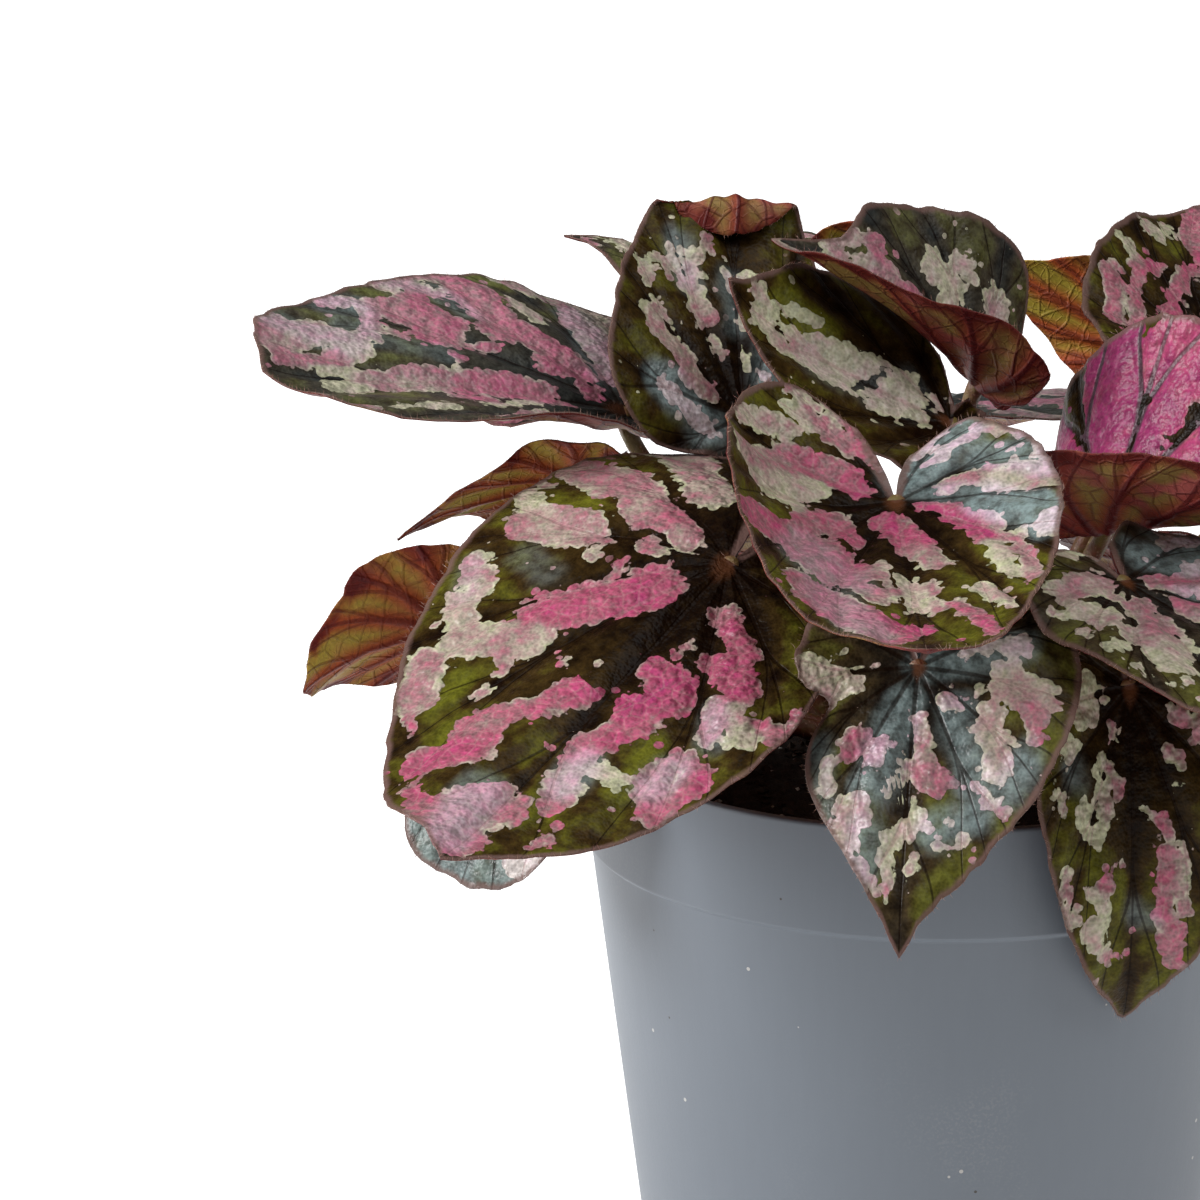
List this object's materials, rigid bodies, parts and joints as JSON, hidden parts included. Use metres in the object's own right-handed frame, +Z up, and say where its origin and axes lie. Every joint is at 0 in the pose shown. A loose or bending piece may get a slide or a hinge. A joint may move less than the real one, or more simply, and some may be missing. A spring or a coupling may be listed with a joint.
{
  "type": "potted plant",
  "caption": "Potted rex begonia: waved, lopsided patterned leaves on short stalks over a tapered round nursery pot of potting mix.",
  "frame": {"origin": "centre of the flat disc under the pot, on the surface that it stands on", "axes": "+Z up along the pot's axis, -Y towards the plant's front"},
  "size_m": [0.2412, 0.2266, 0.1935],
  "materials": {
    "pot_plastic": "matte grey-blue moulded plastic with a fine pale fleck",
    "potting_mix": "dark peat and bark potting mix with white grit",
    "stem": "red-brown hairy stalks and rhizome",
    "leaf": "puckered leaf, olive and brown with pink to silver patches, red underneath"
  },
  "bodies": {
    "root": {"pot": "pot_plastic", "soil": "potting_mix", "stems": "stem", "leaf_01": "leaf", "leaf_02": "leaf", "leaf_03": "leaf", "leaf_04": "leaf", "leaf_05": "leaf", "leaf_06": "leaf", "leaf_07": "leaf", "leaf_08": "leaf", "leaf_09": "leaf", "leaf_10": "leaf", "leaf_11": "leaf", "leaf_12": "leaf", "leaf_13": "leaf", "leaf_14": "leaf", "leaf_15": "leaf", "leaf_16": "leaf", "leaf_17": "leaf", "leaf_18": "leaf", "leaf_19": "leaf", "leaf_20": "leaf", "leaf_21": "leaf", "leaf_22": "leaf", "leaf_23": "leaf", "leaf_24": "leaf", "leaf_25": "leaf", "leaf_26": "leaf"}
  },
  "joints": []
}
